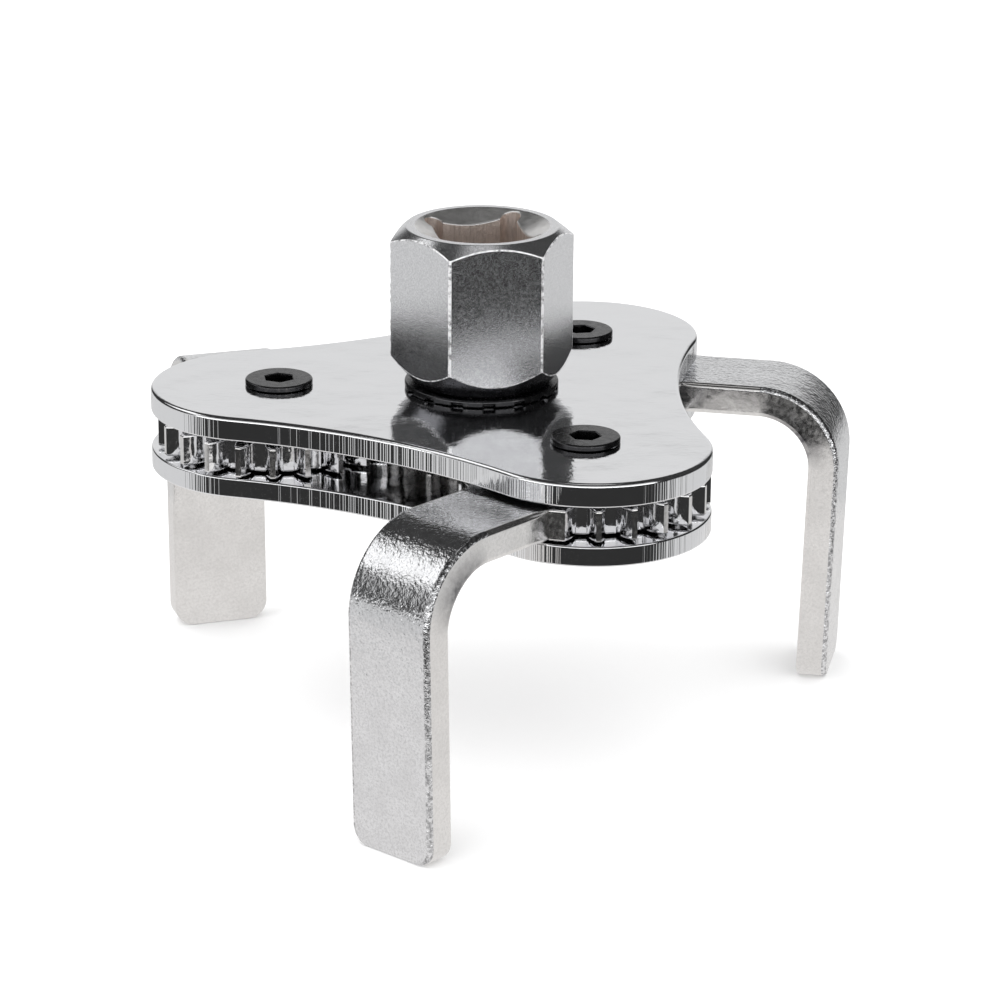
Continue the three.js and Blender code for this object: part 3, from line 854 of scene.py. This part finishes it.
def drive_profile(angle):
    flat = hex_radius(angle)
    inside = socket_radius(angle)
    spline = spline_radius(angle)
    lower = HEX_Z + (flat - HEX_BOTTOM_RADIUS) * math.tan(LOWER_CHAMFER)
    upper = HEX_TOP_Z - (flat - HEX_TOP_RADIUS) * math.tan(UPPER_CHAMFER)
    slope = MOUTH_DEPTH / (MOUTH_RADIUS - SOCKET_ACROSS_FLATS / 2)
    brink = HEX_TOP_Z - (MOUTH_RADIUS - inside) * slope
    spline_top = TOP_PLATE_Z - RUNNING_GAP
    spline_bottom = BOTTOM_PLATE_TOP_Z + RUNNING_GAP / 2
    groove_top = GROOVE_Z + GROOVE_WIDTH
    small = 0.06 * MM
    edge = 0.3 * MM
    return eased([
        (0, 0, 0),
        (LOWER_JOURNAL_RADIUS - SHAFT_END_CHAMFER, 0, small),
        (LOWER_JOURNAL_RADIUS, SHAFT_END_CHAMFER, small),
        (LOWER_JOURNAL_RADIUS, GROOVE_Z, small),
        (GROOVE_RADIUS, GROOVE_Z, small),
        (GROOVE_RADIUS, groove_top, small),
        (LOWER_JOURNAL_RADIUS, groove_top, small),
        (LOWER_JOURNAL_RADIUS, spline_bottom, small),
        (spline, spline_bottom, small),
        (spline, spline_top, small),
        (JOURNAL_RADIUS, spline_top, edge),
        (JOURNAL_RADIUS, HEX_Z, small),
        (HEX_BOTTOM_RADIUS, HEX_Z, edge),
        (flat, lower, edge),
        (flat, upper, edge),
        (HEX_TOP_RADIUS, HEX_TOP_Z, edge),
        (MOUTH_RADIUS, HEX_TOP_Z, edge),
        (inside, brink, edge),
        (inside, HEX_TOP_Z - SOCKET_DEPTH, edge),
        (0, HEX_TOP_Z - SOCKET_DEPTH, 0),
    ], 4)


def make_drive_hex():
    bm = bmesh.new()
    per_corner = 7  # profile points for each rounded corner
    first_hex_row = 11 * per_corner - 1
    lower_edge = 12 * per_corner + 1
    upper_edge = 13 * per_corner + 1
    first_mouth_row = 16 * per_corner - 1
    first_socket_row = 17 * per_corner - 1
    ground, cone = 4, 5

    def finish(row, angle):
        on_corner = abs(off_nearest(angle + 0.15, HEX_TURN, 60)) < hex_corner_limit()
        on_arc = any(row - edge in range(4) for edge in (lower_edge, upper_edge))
        # the hexagon's corners and edge arcs take the near-white painted highlight
        if on_arc or on_corner and lower_edge <= row < upper_edge:
            return ground
        # the lower chamfer takes the dark grey painted shade
        if first_hex_row <= row < lower_edge:
            return cone
        return int(row >= first_hex_row) + int(row >= first_mouth_row) + int(row >= first_socket_row)

    turned(bm, drive_angles(), drive_profile, finish=finish)
    finishes = [SHAFT_STEEL, HEX_CHROME, MOUTH_STEEL, SOCKET_STEEL, GROUND_EDGE_HIGHLIGHT, SHADED_CHAMFER]
    piece(bm, "drive_hex", "drive", finishes)


def make_drive_gear():
    bm = bmesh.new()
    bottom, top = heights("drive_gear")
    rings = wall(bm, sun_outline(), edge_levels(bottom, top, TOOTH_EDGE, TOOTH_EDGE, 2))
    bore = notched_outline(SPLINE_TEETH, SPLINE_ROOT_RADIUS, SPLINE_TIP_RADIUS, 0.5, RUNNING_GAP)[::-1]
    edge = 0.15 * MM
    inner = wall(bm, bore, edge_levels(bottom, top, edge, edge, 1))
    cap(bm, rings, [(inner[0], inner[-1])])
    piece(bm, "drive_gear", "drive", [GEAR_STEEL])


def make_toothed_washer():
    """A ring notched at its underside only, so that its upper edge runs smooth."""
    bm = bmesh.new()
    bottom, top = heights("toothed_washer")
    edge = 0.15 * MM
    outline = notched_outline(TOOTHED_WASHER_TEETH, TOOTHED_WASHER_ROOT_RADIUS, TOOTHED_WASHER_RADIUS,
                              TOOTHED_WASHER_SHARE, lean=1)
    rings = wall(bm, outline, edge_levels(bottom, top, 0.2 * MM, 0.3 * MM, 4))
    for ring in rings[len(rings) // 2:]:
        rim = max(vertex.co.xy.length for vertex in ring)
        for vertex in ring:
            vertex.co.xy *= rim / vertex.co.xy.length
    cap(bm, rings, [straight_hole(bm, (0, 0), JOURNAL_RADIUS + RUNNING_GAP, bottom, top, edge)])
    piece(bm, "toothed_washer", "drive", [BLACK_OXIDE])


def make_washer(node, body, inner, outer, centre):
    bm = bmesh.new()
    bottom, top = heights(node)
    edge = 0.12 * MM
    seam = ((inner + outer) / 2, bottom, 0)
    corners = [(outer, bottom, edge), (outer, top, edge), (inner, top, edge), (inner, bottom, edge)]
    section = eased([seam] + corners + [seam], 3)[:-1]
    turned(bm, fan(4), lambda angle: section, centre, poles=False)
    piece(bm, node, body, [WASHER_STEEL])


def make_circlip():
    bm = bmesh.new()
    bottom, top = heights("retaining_ring")
    edge = 0.12 * MM
    rings = wall(bm, circlip_outline(), edge_levels(bottom, top, edge, edge, 2))
    lugs = [polar(CIRCLIP_LUG_CENTRE, side * CIRCLIP_LUG_ANGLE) for side in (-1, 1)]
    cap(bm, rings, [straight_hole(bm, lug, CIRCLIP_LUG_HOLE_RADIUS, bottom, top, edge) for lug in lugs])
    piece(bm, "retaining_ring", "drive", [BLACK_OXIDE])


# ---- pivots ----


def make_post(number, centre):
    bm = bmesh.new()
    node = f"pivot_post_{number}"
    bottom, top = heights(node)
    shoulder = BOTTOM_PLATE_TOP_Z + RUNNING_GAP / 2
    bore_floor = heights(f"pivot_screw_{number}")[0] - RUNNING_GAP
    bore = SCREW_RADIUS + RUNNING_GAP
    punch = 1.1 * MM
    small = 0.08 * MM
    edge = 0.3 * MM
    section = eased([
        (0, bottom + punch * 0.6, 0),
        (punch, bottom, small),
        (RIVET_RADIUS, bottom, small * 2),
        (RIVET_RADIUS, bottom + edge, small),
        (SPIGOT_RADIUS, bottom + 2 * edge, small),
        (SPIGOT_RADIUS, shoulder, small),
        (POST_RADIUS, shoulder, small),
        (POST_RADIUS, top, edge),
        (bore, top, edge),
        (bore, bore_floor, small),
        (0, bore_floor - bore * 0.25, 0),
    ], 4)
    turned(bm, fan(5), lambda angle: section, centre)
    steel = plain_steel_finish(f"post_steel_{number}", centre)
    piece(bm, node, "cage", [steel])


def make_screw(number, centre, turn):
    """Thin-headed countersunk screw with a hexagon key socket and a rolled thread."""
    bm = bmesh.new()
    node = f"pivot_screw_{number}"
    bottom, top = heights(node)
    head_underside = DECK_Z + RUNNING_GAP / 2
    cone_bottom = DECK_Z - SCREW_CONE_DEPTH
    small = 0.06 * MM
    per_pitch = 12
    rows = int(round((cone_bottom - bottom - 2 * RUNNING_GAP) / THREAD_PITCH * per_pitch))

    def profile(angle):
        key = KEY_ACROSS_FLATS / 2 / math.cos(math.radians(abs(off_nearest(angle, turn, 60))))
        key = min(key, KEY_ACROSS_FLATS / 2 / math.cos(math.radians(30)) - small / 2)
        points = [(0, bottom), (SCREW_RADIUS - THREAD_DEPTH, bottom)]
        for row in range(rows + 1):
            z = bottom + RUNNING_GAP + row * THREAD_PITCH / per_pitch
            phase = (row / per_pitch - angle / 360) % 1
            groove = max(0.0, 1 - 2.4 * abs(phase - 0.5))
            lead = min(1.0, row / per_pitch, (rows - row) / per_pitch * 2)
            depth = THREAD_DEPTH * (1 - lead * (1 - groove))
            points.append((SCREW_RADIUS - depth, z))
        head = eased([
            points[-1] + (0,),
            (SCREW_RADIUS, cone_bottom, small),
            (SCREW_CONE_RADIUS, head_underside, small),
            (SCREW_HEAD_RADIUS, head_underside, small),
            (SCREW_HEAD_RADIUS, top, 0.28 * MM),
            (key + 0.12 * MM, top, small),
            (key, top - 0.12 * MM, small),
            (key, top - KEY_DEPTH, small),
            (0, top - KEY_DEPTH - 0.5 * MM, 0),
        ], 4)
        return points + [tuple(p) for p in head[1:]]

    turned(bm, merged_angles(both_sides(turn + 30, 6, (0, 1)), fan(5)), profile, centre)
    piece(bm, node, "cage", [BLACK_OXIDE])


def make_pivots():
    key_turns = (8, 22, 41)
    for number, (angle, key_turn) in enumerate(zip(PIVOT_ANGLES, key_turns), 1):
        centre = polar(PIVOT_CIRCLE_RADIUS, angle)
        make_post(number, centre)
        make_screw(number, centre, key_turn)
        make_washer(f"jaw_washer_{number}", "cage", POST_RADIUS + RUNNING_GAP, JAW_WASHER_RADIUS, centre)


# ---- jaws, each shaped with its pivot at the origin and its arm along +X ----


def jaw_sections(levels, top):
    """Stations along the bent bar: (half width, points from the inner to the outer face, share of painted
    dark reflection).
    """
    bend_z = top - BEND_OUTER_RADIUS
    depths = [height + rise - top for _, height, rise in levels]
    half = BAR_WIDTH / 2
    stations = []
    swell = np.array([BEND_BULGE * (-2 * depth / BAR_THICKNESS - BULGE_SHIFT) for depth in depths])
    # share of painted dark reflection, rising toward the inner face of the bend and absent on the leg
    bend_reflection_share = np.clip(np.array(depths) / -BAR_THICKNESS * BEND_SHADE_RISE - BEND_SHADE_START, 0, 1)
    for angle in np.radians(np.linspace(90, -math.degrees(LEG_LEAN), 33))[1:]:
        out = np.array((math.cos(angle), math.sin(angle)))
        spots = [np.array((BEND_START, bend_z)) + out * (BEND_OUTER_RADIUS + depth) for depth in depths]
        share = math.sin(2 * max(angle, 0))
        stations.append((half + swell * share, spots, bend_reflection_share * share ** 0.7))
    leg_tops = stations[-1][1]
    down = np.array((-math.sin(LEG_LEAN), -math.cos(LEG_LEAN)))
    lengths = [(spot[1] - FOOT_Z) / math.cos(LEG_LEAN) for spot in leg_tops]
    remaining = list(np.linspace(lengths[0], TIP_CORNER_RADIUS, 16)[1:])
    remaining += [TIP_CORNER_RADIUS * (1 - math.sin(a)) for a in np.radians(np.linspace(0, 90, 19))[1:]]
    for left in remaining:
        rounding = TIP_CORNER_RADIUS - min(left, TIP_CORNER_RADIUS)
        half_here = half - TIP_CORNER_RADIUS + math.sqrt(TIP_CORNER_RADIUS ** 2 - rounding ** 2)
        nearness = TIP_EDGE - min(left, TIP_EDGE)
        thinning = TIP_EDGE - math.sqrt(TIP_EDGE ** 2 - nearness ** 2)
        keep = 1 - 2 * thinning / BAR_THICKNESS
        spots = [spot + down * (length - left) for spot, length in zip(leg_tops, lengths)]
        middle = (spots[0] + spots[-1]) / 2
        stations.append((half_here, [middle + (spot - middle) * keep for spot in spots], bend_reflection_share * 0))
    return stations


def make_jaw(number, angle):
    bm = bmesh.new()
    # the inside layer holds each vertex's share of the painted dark reflection in the bend
    inside = bm.verts.layers.float.new("inside")
    node = f"jaw_{number}"
    top = heights(node)[1]
    bottom = top - BAR_THICKNESS
    outline = jaw_outline()
    toothed = np.linalg.norm(outline, axis=1) < JAW_TIP_RADIUS + 0.05 * MODULE
    weights = np.where(toothed, TOOTH_EDGE / BAR_EDGE, 1)
    levels = edge_levels(bottom, top, BAR_EDGE, BAR_EDGE)
    outer_finish, side_finish, tooth_surface, edge_finish = range(4)
    rings = wall(bm, outline, levels, closed=False, weights=weights, finish=side_finish)
    for face in bm.faces:
        middle = face.calc_center_median()
        if middle.xy.length < JAW_TIP_RADIUS - 0.02 * MODULE:
            face.material_index = tooth_surface

    first, last = straight_hole(bm, (0, 0), POST_RADIUS + RUNNING_GAP, bottom, top, HOLE_EDGE)
    section = [ring[0] for ring in rings] + [ring[-1] for ring in reversed(rings)]
    count = len(rings)
    insets = np.array([inset for inset, _, _ in levels])
    for halves, spots, station_reflection_shares in jaw_sections(levels, top):
        reach = halves - insets
        left, right = ([bm.verts.new((x, side * y, z)) for (x, z), y in zip(spots, reach)]
                       for side in (1, -1))
        onward = left + right[::-1]
        for vertex, shade in zip(onward, (*station_reflection_shares, *station_reflection_shares[::-1])):
            vertex[inside] = shade
        for i in range(2 * count):
            j = (i + 1) % (2 * count)
            face = bm.faces.new((section[i], section[j], onward[j], onward[i]))
            from_outer = abs(i - count + 1)
            if from_outer < 2:
                face.material_index = outer_finish
            elif from_outer <= EDGE_STEPS + 1:
                face.material_index = edge_finish
            else:
                face.material_index = side_finish
        section = onward
    fill(bm, [section], side_finish)
    fill(bm, [rings[0], first], side_finish)
    fill(bm, [rings[-1], last])
    place = polar(PIVOT_CIRCLE_RADIUS, angle)
    turn = Matrix.Rotation(math.radians(angle - JAW_SWING), 4, "Z")
    bmesh.ops.transform(bm, matrix=Matrix.Translation((*place, 0)) @ turn, verts=bm.verts)
    piece(bm, node, node, [JAW_FACE, JAW_SIDE, TOOTH_CHROME, JAW_EDGE])


# ---- studio ----

FLOOR_REACH = 6
GLOW_RADIUS = 118 * MM
GLOW_LIFT = 0.05 * MM
GLOW_COLOUR = (1, 0.985, 0.975, 1)
GLOW_STRENGTH = 0.82
KEY_PLACE = (-0.45, -0.15, 0.8)
KEY_SIZE = 0.5
KEY_POWER = 1.0
ROOM_LEVEL = 0.04
AMBIENT_LEVEL = 1.95
BACKDROP_LEVEL = 1.0
PANELS = (  # azimuth, elevation, half width, half height, softness, strength
    (180, 8, 24, 18, 8, 0.97),  # behind the wrench
    (104, 39.5, 25, 11.5, 3, 1.6),  # high on the left
    (10, 24, 72, 12, 8, 0.96),  # on the viewer's side, high
    (135, -25, 66, 24, 3, 0.88),  # below, at the back on the left
    (-140, -22, 62, 14, 5, 0.86),  # below, at the back on the right
    (180, -50, 110, 30, 6, 0.86),  # far below, at the back
    (0, 86, 180, 9, 5, 0.7),  # overhead
    (5, 4, 66, 7, 3, 2.6),  # on the viewer's side, low and bright
)


def stage_sheet(name, corners, material):
    """A flat sheet of the studio."""
    mesh = bpy.data.meshes.new(name)
    mesh.from_pydata(corners, [], [tuple(range(len(corners)))])
    mesh.materials.append(material)
    sheet = put(name, mesh)
    return sheet


def make_floor():
    """A wide pale floor. Reflections see the floor glow and the studio's panels in its place."""
    corners = [(x * FLOOR_REACH, y * FLOOR_REACH, FOOT_Z) for x, y in ((-1, -1), (1, -1), (1, 1), (-1, 1))]
    paint = Finish("floor_paint", FLOOR_WHITE, 0.9, metallic=0.0)
    paint.shader.inputs["Specular IOR Level"].default_value = 0
    floor = stage_sheet("studio_floor", corners, paint.done())
    floor.visible_glossy = False


def make_floor_glow():
    """A lit round patch of floor under the wrench, which only reflections see."""
    rim = [(*polar(GLOW_RADIUS, a), FOOT_Z) for a in fan(3)]
    material = bpy.data.materials.new("floor_glow")
    material.use_nodes = True
    nodes = Nodes(material.node_tree)
    nodes.tree.nodes.clear()
    glow = nodes.add("Emission", {"Color": GLOW_COLOUR, "Strength": GLOW_STRENGTH})
    nodes.add("OutputMaterial", {"Surface": glow.outputs[0]})
    patch = stage_sheet("floor_glow", rim, material)
    patch.location.z = GLOW_LIFT
    for ray in ("camera", "diffuse", "shadow", "transmission"):
        setattr(patch, "visible_" + ray, False)


class StudioLight(Nodes):
    """The world: even white light, and for reflections soft white panels on a dark room."""

    def __init__(self):
        world = bpy.data.worlds.new("studio")
        bpy.context.scene.world = world
        world.use_nodes = True
        super().__init__(world.node_tree)
        self.tree.nodes.clear()
        self.direction = self.add("TexCoord").outputs["Generated"]
        self.level = ROOM_LEVEL

    def panel(self, azimuth, elevation, width, height, softness, strength):
        """Adds light from a soft-edged panel. Azimuth 0 is behind the viewer and 90 is on the viewer's
        left; width and height are half sizes in degrees."""
        turn = {"Vector": self.direction, "Angle": math.radians(azimuth)}
        turned_to = self.add("VectorRotate", turn, rotation_type="Z_AXIS").outputs[0]
        x, y, z = self.add("SeparateXYZ", {0: turned_to}).outputs
        side = self.math("ARCTAN2", x, self.math("MULTIPLY", y, -1))
        rise = self.math("SUBTRACT", self.math("ARCSINE", z), math.radians(elevation))
        light = strength
        for off, limit in ((side, width), (rise, height)):
            near = math.radians(limit - softness)
            far = math.radians(limit + softness)
            distance = self.math("ABSOLUTE", off)
            edge = self.spread(distance, near, far, 1, 0, interpolation_type="SMOOTHSTEP")
            light = self.math("MULTIPLY", edge, light)
        self.level = self.math("MAXIMUM", self.level, light)

    def finish(self):
        """Joins the panels: reflections see them, everything else sees even light."""
        paths = self.add("LightPath").outputs
        pattern = self.add("Background", {"Strength": self.level}).outputs[0]
        share = {0: paths["Is Camera Ray"], 2: AMBIENT_LEVEL, 3: BACKDROP_LEVEL}
        strength = self.add("Mix", share, data_type="FLOAT").outputs[0]
        even = self.add("Background", {"Strength": strength}).outputs[0]
        mix = self.add("MixShader", {0: paths["Is Glossy Ray"], 1: even, 2: pattern})
        self.add("OutputWorld", {"Surface": mix.outputs[0]})


def make_studio():
    studio = StudioLight()
    for panel in PANELS:
        studio.panel(*panel)
    studio.finish()
    key = bpy.data.lights.new("key", "AREA")
    key.shape = "DISK"
    key.size = KEY_SIZE
    key.energy = KEY_POWER
    lamp = put("key", key)
    lamp.location = KEY_PLACE
    lamp.rotation_euler = (-lamp.location).to_track_quat("-Z", "Y").to_euler()
    lamp.visible_glossy = False


def make_camera():
    """Telephoto view from a little above, square on to the front."""
    distance = 0.607467
    elevation = 0.336506
    azimuth = -0.001663
    roll = 0.007517
    aside = 2.7455 * MM
    lift = -17.0153 * MM
    forward = Vector((0, math.cos(elevation), -math.sin(elevation)))
    level_up = Vector((0, math.sin(elevation), math.cos(elevation)))
    right = Vector((math.cos(roll), 0, 0)) + math.sin(roll) * level_up
    up = math.cos(roll) * level_up - Vector((math.sin(roll), 0, 0))
    place = -distance * forward + aside * right + lift * up
    facing = Matrix((right, up, -forward)).transposed().to_4x4()
    facing.translation = place
    data = bpy.data.cameras.new("camera")
    data.sensor_width = 36
    data.lens = 147.571
    data.clip_start = 0.01
    data.clip_end = 50
    camera = put("camera", data)
    camera.matrix_world = Matrix.Translation((0, 0, DECK_Z)) @ Matrix.Rotation(-azimuth, 4, "Z") @ facing
    bpy.context.scene.camera = camera


# ---- the whole wrench ----

make_camera()
bpy.context.scene.view_settings.view_transform = "Standard"
make_studio()
make_floor()
make_floor_glow()
make_plates()
make_drive_hex()
make_drive_gear()
make_toothed_washer()
make_washer("retainer_washer", "drive", LOWER_JOURNAL_RADIUS + RUNNING_GAP, RETAINER_WASHER_RADIUS, (0, 0))
make_circlip()
make_pivots()
for jaw_number, pivot_angle in enumerate(PIVOT_ANGLES, 1):
    make_jaw(jaw_number, pivot_angle)
